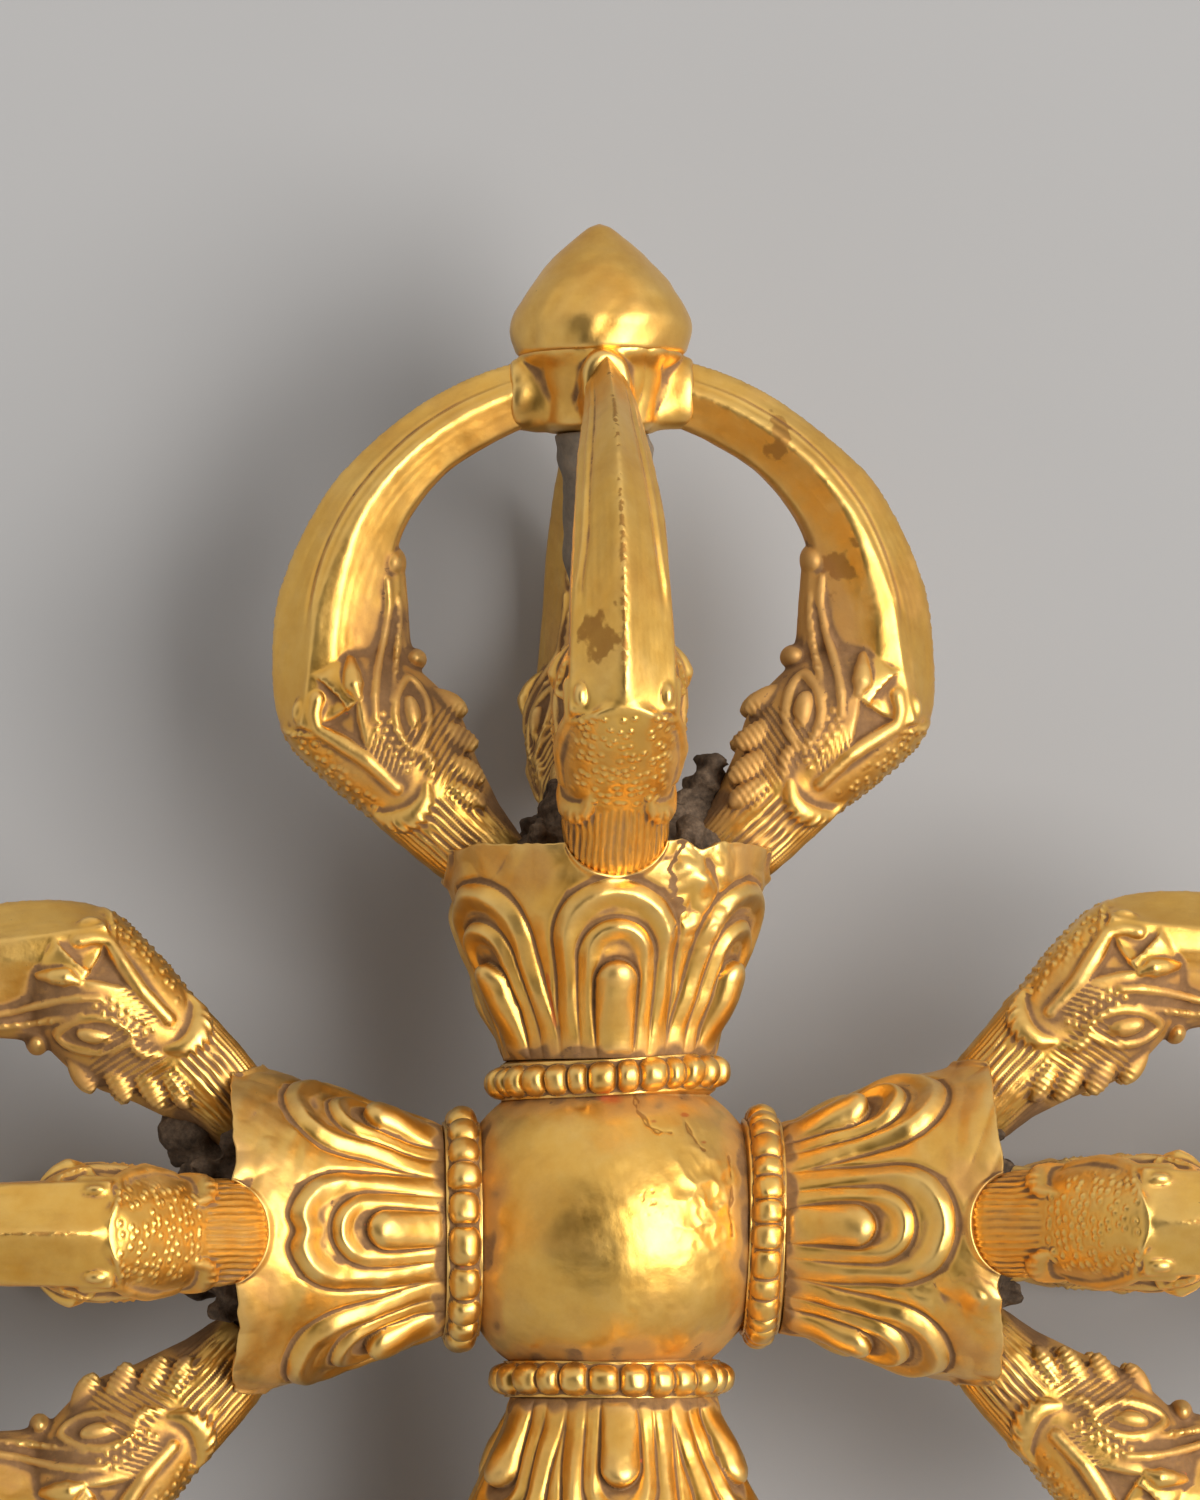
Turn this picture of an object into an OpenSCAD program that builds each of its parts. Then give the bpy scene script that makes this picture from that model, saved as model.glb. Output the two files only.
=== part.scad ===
// Crossed double vajra of gilt copper, lying on a table: four lotus heads round one hub.
// Each head is built about its own +Z axis and then laid out from the hub along +X, +Y, -X or -Y.
// The part rests on the worn flats of its four lower prongs, at z = 0 under the hub's centre.

/* [Hub] */
// Outer radius of the round hub
hub_r = 16.5; // [14:0.5:20]
// Wall of the two raised hub shells
hub_wall = 1.2; // [0.8:0.1:2]
// Outer radius of the spigots that carry the pearl rings and the cups
neck_r = 10; // [8:0.5:11]
// Length of a spigot inside its cup
neck_grip = 2.4; // [1.5:0.1:4]

/* [Pearl rings] */
// Width of a pearl ring along its axis
ring_w = 3.6; // [3:0.1:4.5]
// Thickness of the strip under the pearls
ring_strip = 0.7; // [0.5:0.1:1.2]
// Radius of a pearl
pearl_r = 1.6; // [1.2:0.05:1.75]
// Pearls round one ring
pearl_count = 24; // [18:1:28]

/* [Lotus cups] */
// Length of a cup from its foot to its rim
cup_len = 21; // [17:0.5:26]
// Outer radius of a cup at its rim
cup_rim_r = 16.4; // [15:0.1:20]
// Sheet thickness of a cup
cup_wall = 0.9; // [0.6:0.1:1.3]
// Petals round one cup
petal_count = 6; // [5:1:8]
// Height of the outer, middle and inner lobe of a petal above the sheet
petal_relief = [0.45, 0.9, 1.6]; // [0.3:0.05:2]
// Distance from the rim down to the top of each lobe
petal_drop = [2.2, 5.4, 10.6]; // [1:0.1:14]
// Width of each lobe as a share of the petal's sector
petal_share = [0.7, 0.45, 0.24]; // [0.2:0.01:0.98]

/* [Prongs] */
// Length of the cage of prongs, from the cup's rim to the underside of the tip collar
cage_len = 41.5; // [34:0.5:50]
// Radius of the cage at the outer ridge of its prongs
cage_r = 33.2; // [28:0.2:40]
// Depth of the worn flat on the ridge of a prong
worn_depth = 0.5; // [0.3:0.05:0.8]
// Radius of the ribbed throat where a prong leaves its cup
throat_r = 4.9; // [4:0.1:5.6]
// Slope of a throat above the plane of the rim
throat_slope = 43; // [38:1:48]
// Distance of a throat's foot inside the cup's rim
throat_inset = 3.3; // [2.8:0.1:4]
// Length of the round throat
throat_len = 9; // [7:0.5:11]
// Distance of the sea-monster's lip inside the cage's widest radius
lip_inset = 0.7; // [0.3:0.1:2]
// Half width of the snout
snout_half_w = 6.6; // [5.6:0.1:7.4]
// Half width of the blade at the mouth and at the tip
blade_half_w = [5.5, 1.9]; // [1.5:0.1:6]
// Thickness of the blade at the mouth and at the tip
blade_t = [12, 6.8]; // [5:0.1:14]
// Radius of the peg under a throat
peg_r = 2; // [1.5:0.1:2.4]
// Length of the peg under a throat
peg_len = 7; // [4:0.5:8]
// Radius of an eye
eye_r = 1.5; // [1:0.1:2]
// Outer radius of the crescent behind the cheek
crescent_r = 4.4; // [3.6:0.1:5]

/* [Tip collars and finials] */
// Distance from the axis to the end of a collar's arm
collar_r = 8.7; // [7.5:0.1:10]
// Height of a collar
collar_h = 8; // [7:0.1:10]
// Width of a collar's arm
collar_arm_w = 6; // [5:0.1:7]
// Radius of a collar's round middle
collar_core_r = 6.2; // [5.4:0.1:7]
// Width, height and length of the lug on a prong's tip
lug = [2.6, 3.4, 3]; // [2:0.1:4]
// Largest radius of a finial
finial_r = 8.9; // [8:0.1:11]
// Height of a finial
finial_h = 13; // [11:0.1:16]
// Height of the straight skirt of a finial
finial_skirt = 2.8; // [2:0.1:4]

/* [Iron rods] */
// Radius of a rod through the hub and the cups
rod_r = 3; // [2.4:0.1:3.6]
// Radius of the shoulder that carries a collar
rod_shoulder_r = 4.8; // [4:0.1:5.2]
// Length of the taper below a shoulder
rod_taper = 18; // [12:0.5:22]
// Radius of the rod's end, which passes through the collar into the finial
rod_end_r = 2.5; // [2:0.1:2.8]
// Depth that the rod's end reaches into the finial
rod_grip = 4.6; // [3:0.1:6]

/* [Pitch beds] */
// Depth of the pitch below the rim at the wall of the cup
pitch_drop = 2; // [1:0.1:4]
// Height of the pitch above the rim round the rod
pitch_crown = 4; // [1:0.1:6]
// Radius of the crown round the rod
pitch_crown_r = 5.6; // [5:0.1:7]

/* [Fits] */
// Clearance between fitted pieces, per side
fit = 0.05; // [0.02:0.01:0.1]

/* [Hidden] */
$fn = 64;
HEADS = ["east", "north", "west", "south"];
PRONGS = ["lower", "left", "upper", "right"];
HEAD_PIECES = ["pearl_ring", "lotus_cup", "pitch_bed", "tip_collar", "finial"];

GILT = "#d9a441";
IRON = "#4d4843";
PITCH = "#3a2c22";

// Stations along a head's axis, from the hub's centre outwards
rest_r = cage_r - worn_depth;
// A ring stands where its spigot leaves the ball, or further out if the rings of two heads would meet
ring_z = max(sqrt(hub_r * hub_r - neck_r * neck_r), neck_r + fit + ring_strip + pearl_r);
cup_z = ring_z + ring_w;
rim_z = cup_z + cup_len;
collar_z = rim_z + cage_len;
finial_z = collar_z + collar_h;
tip_z = finial_z + finial_h;

// The cup's foot slides over the spigot, and its wall swells like part of a sine curve
cup_foot_r = neck_r + fit + cup_wall;
cup_steps = 10;
cup_swell = 75;
function cup_r(u) = cup_foot_r + (cup_rim_r - cup_foot_r) * sin(cup_swell * u) / sin(cup_swell);
function cup_line(off, u0 = 0, u1 = 1) =
    [for (i = [0 : cup_steps]) let (u = u0 + (u1 - u0) * i / cup_steps) [cup_r(u) + off, cup_z + cup_len * u]];

// The throat runs up and out from its foot; s is measured along it and n square to it, outwards
throat_foot_r = cup_rim_r - throat_inset;
throat_foot_z = rim_z + 0.5;
throat_along = [cos(throat_slope), sin(throat_slope)];
throat_out = [sin(throat_slope), -cos(throat_slope)];
function on_throat(s, n) = [throat_foot_r, throat_foot_z] + s * throat_along + n * throat_out;
snout_len = (cage_r - lip_inset - throat_foot_r - throat_r * throat_out[0]) / throat_along[0];

// The blade's outer ridge is an ellipse through the widest point of the cage and the end of the collar's arm
ridge_mid_z = rim_z + 0.45 * cage_len;
ridge_top_z = finial_z - 0.9;
ridge_centre_r = -2;
ridge_a = cage_r - ridge_centre_r;
ridge_tip = acos((collar_r - ridge_centre_r) / ridge_a);
ridge_b = (ridge_top_z - ridge_mid_z) / sin(ridge_tip);
mouth = on_throat(snout_len, throat_r);
ridge_root = asin((mouth[1] - ridge_mid_z) / ridge_b);
blade_rings = 14;
edge_share = 0.43;
inner_share = 0.45;

// Lugs sit midway up the collar
lug_z = collar_z + 0.5 * (collar_h - lug[1]);

function mix(a, b, t) = a + (b - a) * t;

// Solid between rings of points: each ring has the same number of points, in the same order
module loft(rings) {
    count = len(rings[0]);
    last = len(rings) - 1;
    sides = [
        for (i = [0 : last - 1]) for (j = [0 : count - 1])
            let (a = i * count + j, b = i * count + (j + 1) % count)
            each [[a, b + count, b], [a, a + count, b + count]]
    ];
    caps = [[for (j = [0 : count - 1]) j], [for (j = [count - 1 : -1 : 0]) last * count + j]];
    polyhedron(points = [for (r = rings) each r], faces = concat(sides, caps), convexity = 8);
}

// Puts a piece that is built about +Z on the head that points along +X, +Y, -X or -Y
module at_head(k) {
    translate([0, 0, rest_r]) rotate([0, 0, 90 * k]) rotate([0, 90, 0]) children();
}

// Puts a piece that is built about +Z on the axis of the throat
module on_throat_axis(s) {
    translate([on_throat(s, 0)[0], 0, on_throat(s, 0)[1]]) rotate([0, 90 - throat_slope, 0]) children();
}

// Round hub of two raised copper shells, with half of each spigot on each shell
module hub_shell() {
    spigot = cup_z + neck_grip;
    difference() {
        union() {
            sphere(hub_r, $fn = 96);
            for (k = [0 : 3]) rotate([0, 90, 90 * k]) cylinder(r = neck_r, h = spigot);
        }
        sphere(hub_r - hub_wall, $fn = 96);
        for (k = [0 : 3]) rotate([0, 90, 90 * k]) cylinder(r = neck_r - hub_wall, h = spigot + 1);
    }
}

module hub_half(side) {
    reach = 2 * tip_z;
    color(GILT) translate([0, 0, rest_r]) intersection() {
        hub_shell();
        translate([-reach / 2, -reach / 2, side > 0 ? 0 : -reach]) cube(reach);
    }
}

module hub_upper_shell() { hub_half(1); }

module hub_lower_shell() { hub_half(-1); }

// Through rod with a shoulder and a turned end for the collar and finial of each head
module rod_body() {
    half = [
        [0, finial_z + rod_grip], [rod_end_r, finial_z + rod_grip], [rod_end_r, collar_z],
        [rod_shoulder_r, collar_z], [rod_r, collar_z - rod_taper]
    ];
    far = [for (i = [len(half) - 1 : -1 : 0]) [half[i][0], -half[i][1]]];
    rotate_extrude() polygon(concat(half, far));
}

// The two rods cross in the hub's centre, each notched to half its thickness
module iron_rod(turn, notch_side) {
    notch = 2 * rod_r + 2 * fit;
    color(IRON) translate([0, 0, rest_r]) difference() {
        rotate([0, 0, turn]) rotate([0, 90, 0]) rod_body();
        translate([-notch / 2, -notch / 2, notch_side > 0 ? 0 : -notch]) cube(notch);
    }
}

module iron_rod_east_west() { iron_rod(0, 1); }

module iron_rod_north_south() { iron_rod(90, -1); }

// Beaded strip bent round the spigot, between the hub and the cup's foot
module pearl_ring() {
    bore = neck_r + fit;
    color(GILT) union() {
        translate([0, 0, ring_z]) rotate_extrude() translate([bore, 0]) square([ring_strip, ring_w]);
        for (i = [0 : pearl_count - 1]) {
            rotate([0, 0, 360 / pearl_count * (i + 0.5)])
                translate([bore + ring_strip, 0, ring_z + ring_w / 2]) pearl();
        }
    }
}

// One pearl, its poles turned out from the strip, cut back where it would reach into the bore
module pearl() {
    inset = ring_strip / 2;
    intersection() {
        rotate([0, 90, 0]) sphere(pearl_r);
        translate([-inset, -2 * pearl_r, -2 * pearl_r]) cube(4 * pearl_r);
    }
}

// Outline of a petal's lobe, standing on the foot, with a round top
module lobe_outline(level) {
    top = cup_len - petal_drop[level];
    half_sector = tan(180 / petal_count) * petal_share[level];
    foot_half = cup_foot_r * half_sector;
    top_half = min(cup_r(top / cup_len) * half_sector, top / 2);
    polygon(concat(
        [[-foot_half, 0], [foot_half, 0]],
        [for (a = [0 : 15 : 180]) [top_half * cos(a), top - top_half + top_half * sin(a)]]
    ));
}

// The lobes of one level, raised above the sheet by that level's relief
module lobe_level(level) {
    reach = 2 * cup_rim_r;
    intersection() {
        rotate_extrude() polygon(concat(
            cup_line(-cup_wall / 2),
            [for (i = [cup_steps : -1 : 0]) cup_line(petal_relief[level])[i]]
        ));
        for (i = [0 : petal_count - 1]) {
            rotate([0, 0, 360 / petal_count * i]) translate([0, 0, cup_z])
                rotate([90, 0, 90]) linear_extrude(reach) lobe_outline(level);
        }
    }
}

// Raised sheet cup with petals in steps, notched at the rim for the four throats
module lotus_cup() {
    bore = neck_r + fit;
    inside = [for (p = cup_line(-cup_wall)) [max(p[0], bore), p[1]]];
    color(GILT) difference() {
        union() {
            rotate_extrude() polygon(concat(
                cup_line(0), [for (i = [cup_steps : -1 : 0]) inside[i]]
            ));
            for (level = [0 : 2]) lobe_level(level);
        }
        for (k = [0 : 3]) rotate([0, 0, 90 * k])
            on_throat_axis(-throat_len) cylinder(r = throat_r + fit, h = 3 * throat_len);
    }
}

// Pitch that fills the cup and beds the pegs of the prongs round the rod
module pitch_bed() {
    low = (neck_grip + fit) / cup_len;
    high = 1 - pitch_drop / cup_len;
    bore = rod_r + fit;
    wall = cup_line(-cup_wall - fit, low, high);
    color(PITCH) difference() {
        rotate_extrude() polygon(concat(
            [[bore, wall[0][1]]], wall,
            [[pitch_crown_r, rim_z + pitch_crown], [bore, rim_z + pitch_crown]]
        ));
        for (k = [0 : 3]) rotate([0, 0, 90 * k]) {
            on_throat_axis(0) cylinder(r = throat_r + fit, h = throat_len);
            on_throat_axis(-peg_len - fit) cylinder(r = peg_r + fit, h = peg_len + 2 * fit);
        }
    }
}

// Five-sided blade: outer ridge, two side edges and a narrow inner face
module blade() {
    loft([for (i = [0 : blade_rings]) let (
        t = i / blade_rings,
        turn = mix(ridge_root, ridge_tip, t),
        lean = mix(ridge_root, 90, t),
        ridge = [ridge_centre_r + ridge_a * cos(turn), ridge_mid_z + ridge_b * sin(turn)],
        inward = -[cos(lean), sin(lean)],
        thick = mix(blade_t[1], blade_t[0], pow(1 - t, 1.5)),
        half_w = mix(blade_half_w[0], blade_half_w[1], pow(t, 1.6)),
        edge = ridge + edge_share * thick * inward,
        inner = ridge + thick * inward
    ) [
        [ridge[0], 0, ridge[1]],
        [edge[0], half_w, edge[1]],
        [inner[0], inner_share * half_w, inner[1]],
        [inner[0], -inner_share * half_w, inner[1]],
        [edge[0], -half_w, edge[1]]
    ]]);
}

// Eight-sided ring of the head: s along the throat, reach outwards and inwards, half width
function head_ring(s, out, inn, half_w) = let (flat = 0.55) [
    for (p = [
        [out, flat], [mix(out, -inn, 0.22), 1], [mix(out, -inn, 0.7), 1], [-inn, flat],
        [-inn, -flat], [mix(out, -inn, 0.7), -1], [mix(out, -inn, 0.22), -1], [out, -flat]
    ]) let (q = on_throat(s, p[0])) [q[0], p[1] * half_w, q[1]]
];

// Sea-monster head: cheeks swell from the throat to the snout, with a raised lip at the mouth
module monster_head() {
    lip = 0.5;
    cheek_s = 0.5 * (throat_len + snout_len);
    brow_s = 0.82 * snout_len;
    loft([
        head_ring(0.65 * throat_len, 0.94 * throat_r, 1.25 * throat_r, 0.9 * throat_r),
        head_ring(throat_len, throat_r, 1.5 * throat_r, throat_r + 0.8),
        head_ring(cheek_s, throat_r + 0.1, 1.85 * throat_r, 0.97 * snout_half_w),
        head_ring(brow_s, throat_r + 0.2, 2 * throat_r, snout_half_w),
        head_ring(snout_len - 1, throat_r + 0.3, 2.4 * throat_r, 0.92 * snout_half_w),
        head_ring(snout_len, throat_r + 0.3 + lip, 2.2 * throat_r, 0.92 * snout_half_w),
        head_ring(snout_len + 1, throat_r - lip, 1.7 * throat_r, 0.8 * snout_half_w)
    ]);
}

// Eye and crescent on both cheeks
module cheek_ornaments() {
    eye = on_throat(0.6 * snout_len, -1.2 * throat_r);
    hook = on_throat(throat_len + 2.6, -0.1 * throat_r);
    for (side = [-1, 1]) {
        translate([eye[0], side * (snout_half_w - 0.5 * eye_r), eye[1]]) sphere(eye_r);
        translate([hook[0], side * (throat_r + 0.9), hook[1]]) rotate([90, 0, 0])
            difference() {
                cylinder(r = crescent_r, h = 2 * eye_r, center = true);
                translate(0.36 * crescent_r * [throat_along[0], throat_along[1], 0])
                    cylinder(r = 0.86 * crescent_r, h = 4 * eye_r, center = true);
            }
    }
}

// One cast prong: peg, ribbed throat, sea-monster head and the blade that leaves its mouth
module prong() {
    reach = 2 * cage_r;
    color(GILT) difference() {
        union() {
            on_throat_axis(-peg_len) cylinder(r = peg_r, h = peg_len + 1);
            on_throat_axis(0) cylinder(r = throat_r, h = throat_len + 1);
            monster_head();
            cheek_ornaments();
            blade();
            translate([collar_r - lug[2], -lug[0] / 2, lug_z]) cube([lug[2] + 1, lug[0], lug[1]]);
        }
        translate([rest_r, -reach / 2, 0]) cube([reach, reach, tip_z]);
    }
}

// Four-armed collar that drops over the rod's end and over the lugs of the prongs
module tip_collar() {
    slot = [lug[2] + 2 * fit + 1, lug[0] + 2 * fit, lug_z + lug[1] + fit - collar_z + 1];
    color(GILT) translate([0, 0, collar_z]) difference() {
        union() {
            cylinder(r = collar_core_r, h = collar_h);
            for (k = [0 : 3]) rotate([0, 0, 90 * k])
                translate([0, -collar_arm_w / 2, 0]) cube([collar_r, collar_arm_w, collar_h]);
        }
        translate([0, 0, -1]) cylinder(r = rod_end_r + fit, h = collar_h + 2);
        for (k = [0 : 3]) rotate([0, 0, 90 * k])
            translate([collar_r - lug[2] - fit, -slot[1] / 2, -1]) cube(slot);
    }
}

// Blunt cone with a short skirt, bored from below for the rod's end
module finial() {
    steps = 14;
    skirt_r = finial_r - 0.3;
    cone_h = finial_h - finial_skirt;
    color(GILT) translate([0, 0, finial_z]) difference() {
        rotate_extrude() polygon(concat(
            [[0, 0], [skirt_r, 0]],
            [for (i = [0 : steps]) let (u = i / steps)
                [finial_r * pow(1 - pow(u, 1.15), 0.85), finial_skirt + cone_h * u]]
        ));
        translate([0, 0, -1]) cylinder(r = rod_end_r + fit, h = rod_grip + fit + 1);
    }
}

hub_upper_shell();
hub_lower_shell();
iron_rod_east_west();
iron_rod_north_south();
for (k = [0 : 3]) {
    at_head(k) pearl_ring();
    at_head(k) lotus_cup();
    at_head(k) pitch_bed();
    at_head(k) tip_collar();
    at_head(k) finial();
    for (p = [0 : 3]) {
        at_head(k) rotate([0, 0, 90 * p]) prong();
    }
}
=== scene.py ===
import math

import bmesh
import bpy
import numpy as np
from mathutils import Matrix, Vector
from mathutils.bvhtree import BVHTree


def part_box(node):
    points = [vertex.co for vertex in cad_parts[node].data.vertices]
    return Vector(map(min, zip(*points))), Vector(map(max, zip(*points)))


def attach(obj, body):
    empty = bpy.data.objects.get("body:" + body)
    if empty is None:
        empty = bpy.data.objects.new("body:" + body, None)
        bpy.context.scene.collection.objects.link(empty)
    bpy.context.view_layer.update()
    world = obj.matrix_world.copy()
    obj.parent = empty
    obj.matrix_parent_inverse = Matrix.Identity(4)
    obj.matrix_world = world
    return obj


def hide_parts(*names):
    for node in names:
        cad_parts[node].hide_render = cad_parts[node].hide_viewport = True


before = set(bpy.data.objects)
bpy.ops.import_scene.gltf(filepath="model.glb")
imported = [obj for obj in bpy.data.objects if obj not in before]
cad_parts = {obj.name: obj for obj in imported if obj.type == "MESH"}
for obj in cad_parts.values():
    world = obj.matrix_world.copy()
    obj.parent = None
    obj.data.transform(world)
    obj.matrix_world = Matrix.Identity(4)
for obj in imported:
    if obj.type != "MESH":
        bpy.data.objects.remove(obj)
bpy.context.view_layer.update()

# Hub: a hollow ball of two raised copper shells, fire-gilt, soldered in the plane of the cross.
# Half of each of the four spigots is drawn out of each shell. The sheet is dented, and it is
# creased and split towards the north-east, where the ring of the north head presses on it.
MM = 0.001
hub_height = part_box("hub_upper_shell")[0][2] / MM
hub_r, spigot_r, spigot_end = 16.5, 10.0, 19.1


class Flow:
    """An output in a finish's node tree; sums, differences and products of flows become Math nodes."""

    def __init__(self, tree, socket=None):
        self.tree, self.socket = tree, socket

    def node(self, kind, settings, values, out=0):
        made = self.tree.nodes.new(kind)
        for key, value in settings.items():
            if key == "stops":
                ramp = made.color_ramp
                while len(ramp.elements) < len(value):
                    ramp.elements.new(0.5)
                for element, (at, tone) in zip(ramp.elements, value):
                    element.position, element.color = at, tone
            else:
                setattr(made, key, value)
        for key, value in values.items():
            if isinstance(value, Flow):
                self.tree.links.new(value.socket, made.inputs[key])
            else:
                made.inputs[key].default_value = value
        return Flow(self.tree, made.outputs[out])

    def math(self, operation, a, b):
        return self.node("ShaderNodeMath", {"operation": operation}, {0: a, 1: b})

    def __add__(self, other):
        return self.math("ADD", self, other)

    def __sub__(self, other):
        return self.math("SUBTRACT", self, other)

    def __rsub__(self, other):
        return self.math("SUBTRACT", other, self)

    def __mul__(self, other):
        return self.math("MULTIPLY", self, other)

    __radd__, __rmul__ = __add__, __mul__

    def rise(self, low, high):
        """0 below low, 1 above high, with a soft turn between."""
        return self.node("ShaderNodeMapRange", {"interpolation_type": "SMOOTHSTEP"},
                         {"Value": self, "From Min": low, "From Max": high})

    def ramp(self, *stops):
        """The colour that stops of (value, colour) give to this value."""
        return self.node("ShaderNodeValToRGB", {"stops": stops}, {"Fac": self})

    def tint(self, share, other):
        """This colour turning into the other one by a share."""
        return self.node("ShaderNodeMix", {"data_type": "RGBA"}, {0: share, 6: self, 7: other}, 2)

    def bump(self, strength, depth):
        """The surface normal for this height, over a depth in millimetres."""
        return self.node("ShaderNodeBump", {}, {"Strength": strength, "Distance": depth * MM, "Height": self})


def new_finish(name):
    """A new finish, and the flow of places on the piece that wears it."""
    finish = bpy.data.materials.new(name)
    finish.use_nodes = True
    return finish, Flow(finish.node_tree).node("ShaderNodeTexCoord", {}, {}, "Object")


def cloud(place, size, detail=3.0, rough=0.55):
    """Noise whose patches are about size millimetres across."""
    values = {"Vector": place, "Scale": 1 / (size * MM), "Detail": detail, "Roughness": rough}
    return place.node("ShaderNodeTexNoise", {}, values, "Fac")


def dress(finish, values):
    """Puts values and flows on the sockets of a finish's own shader."""
    shader = finish.node_tree.nodes["Principled BSDF"]
    for key, value in values.items():
        if isinstance(value, Flow):
            finish.node_tree.links.new(value.socket, shader.inputs[key])
        else:
            shader.inputs[key].default_value = value


MARKS = ("hollow", "crest", "stain", "red", "dust")  # what each point of a gilt piece says of its wear and dirt; the hollow mark also places painted shade


def gilding(name):
    """Worn fire-gilding over copper: bright on the crests, amber in thin places, brown with dirt in the
    hollows, and a darker gold painted into the hollows as shade.
    """
    thin, even, thick = (0.74, 0.37, 0.060, 1), (0.84, 0.49, 0.110, 1), (0.89, 0.58, 0.175, 1)
    rubbed, shaded, filmed = (0.90, 0.65, 0.27, 1), (0.58, 0.27, 0.06, 1), (0.56, 0.29, 0.075, 1)
    dusty, blotted = (0.44, 0.225, 0.082, 1), (0.29, 0.12, 0.028, 1)
    soot, earth, clay = (0.10, 0.050, 0.023, 1), (0.18, 0.094, 0.043, 1), (0.29, 0.165, 0.082, 1)
    old_red, red_paint = (0.55, 0.10, 0.035, 1), (0.60, 0.14, 0.04, 1)
    finish, place = new_finish(name)
    hollow, crest, stain, red, dust = [place.node("ShaderNodeAttribute", {"attribute_name": mark}, {}, "Fac")
                                       for mark in MARKS]
    drift, patch, grit = cloud(place, 12), cloud(place, 3.2, 4.0, 0.62), cloud(place, 0.55, 4.0, 0.7)
    tone = (0.6 * drift + 0.4 * patch).ramp((0.30, thin), (0.5, even), (0.70, thick))
    tone = tone.tint(0.4 * crest, rubbed)
    # painted shade: the hollows are tinted a darker, deeper gold
    tone = tone.tint((1.3 * hollow).rise(0.1, 1.0) * 0.5, shaded)
    film = cloud(place, 6.5, 5.0, 0.65).rise(0.42, 0.72)
    tone = tone.tint(0.42 * film * (1.0 - 0.6 * crest), filmed)
    dust = dust + 0.7 * hollow.rise(0.08, 0.6) + 0.5 * (patch - 0.5) + 0.3 * (grit - 0.5)
    dust = dust.rise(0.1, 0.95)
    tone = tone.tint(0.6 * dust, dusty)
    blot = (0.8 * stain + 1.0 * (patch - 0.5) + 0.5 * (grit - 0.5)).rise(0.3, 0.75)
    tone = tone.tint(0.7 * blot, blotted)
    dirt = (1.35 * hollow + 0.6 * (patch - 0.5)).rise(0.22, 0.95) * (0.55 + 0.6 * grit)
    specks = (cloud(place, 0.7, 2.0) + 0.25 * hollow).rise(0.74, 0.79) * drift.rise(0.45, 0.62)
    dirt = (dirt + 0.55 * specks).rise(0.0, 1.0)
    rouge = (cloud(place, 2.0, 3.0) + 0.18 * hollow).rise(0.87, 0.94)
    grime = patch.ramp((0.3, soot), (0.55, earth), (0.8, clay)).tint(rouge, old_red)
    tone = tone.tint(0.85 * dirt, grime)
    paint = (red * (0.4 + 1.2 * patch + 0.8 * (grit - 0.5))).rise(0.35, 0.8)
    tone = tone.tint(0.7 * paint, red_paint)
    rough = 0.23 + 0.14 * patch + 0.08 * grit + 0.2 * dirt + 0.12 * blot + 0.08 * film + 0.27 * dust
    relief = 0.5 * grit + 0.5 * cloud(place, 1.6, 2.0) + 0.5 * dirt
    dress(finish, {"Base Color": tone, "Roughness": rough, "Metallic": 1.0 - 0.4 * dirt - 0.25 * dust,
                   "Normal": relief.bump(0.3, 0.12)})
    return finish


def waves(points, seed, length, count=14):
    """Smooth random field of about unit height, with humps about length apart."""
    rng = np.random.default_rng(seed)
    ways = rng.normal(size=(count, 3))
    ways /= np.linalg.norm(ways, axis=1)[:, None]
    ways *= (2 * math.pi / (length * rng.uniform(0.6, 1.6, count)))[:, None]
    return np.sin(points @ ways.T + rng.uniform(0, 2 * math.pi, count)).sum(axis=1) / math.sqrt(count / 2)


def beaten(points, *blows):
    """Sum of random fields, each from its height, seed and length."""
    return sum(height * waves(points, seed, length) for height, seed, length in blows)


def step(x, low, high):
    """0 below low, 1 above high, with a soft turn between."""
    t = np.clip((np.asarray(x, float) - low) / (high - low), 0, 1)
    return t * t * (3 - 2 * t)


def hump(x, reach):
    """1 at nought, fading to 0 over a reach."""
    return np.exp(-(x / reach) ** 2)


def hump_at(spots, at, reach):
    """1 at a place, fading to 0 over a reach each way."""
    return np.exp(-((spots[:, 0] - at[0]) / reach[0]) ** 2 - ((spots[:, 1] - at[1]) / reach[1]) ** 2)


def angles(count):
    """Even steps once round."""
    return np.linspace(0, 2 * math.pi, count, endpoint=False)


def skin(rows):
    """Closed surface through rows of points, with the first and the last row filled by fans."""
    n, m = rows.shape[:2]
    i, j = np.meshgrid(np.arange(n - 1), np.arange(m), indexing="ij")
    a, b = i * m + j, i * m + (j + 1) % m
    quads = np.stack([a, b, b + m, a + m], axis=-1).reshape(-1, 4)
    j, k = np.arange(m), (np.arange(m) + 1) % m
    first = np.stack([k, j, np.full(m, n * m)], axis=1)
    last = np.stack([(n - 1) * m + j, (n - 1) * m + k, np.full(m, n * m + 1)], axis=1)
    ends = np.stack([rows[0].mean(axis=0), rows[-1].mean(axis=0)])
    return np.concatenate([rows.reshape(-1, 3), ends]), quads.tolist() + first.tolist() + last.tolist()


def raw_mesh(name, points, faces):
    """Mesh with its faces turned outwards."""
    mesh = bpy.data.meshes.new(name)
    mesh.from_pydata(points.tolist(), [], faces)
    work = bmesh.new()
    work.from_mesh(mesh)
    bmesh.ops.recalc_face_normals(work, faces=work.faces)
    work.to_mesh(mesh)
    work.free()
    return mesh


def sheet_mesh(name, points, faces):
    """Smooth mesh from points in millimetres."""
    mesh = raw_mesh(name, points * MM, faces)
    mesh.shade_smooth()
    return mesh


def mesh_points(mesh, key="co"):
    values = np.empty(3 * len(mesh.vertices))
    mesh.vertices.foreach_get(key, values)
    return values.reshape(-1, 3)


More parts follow.
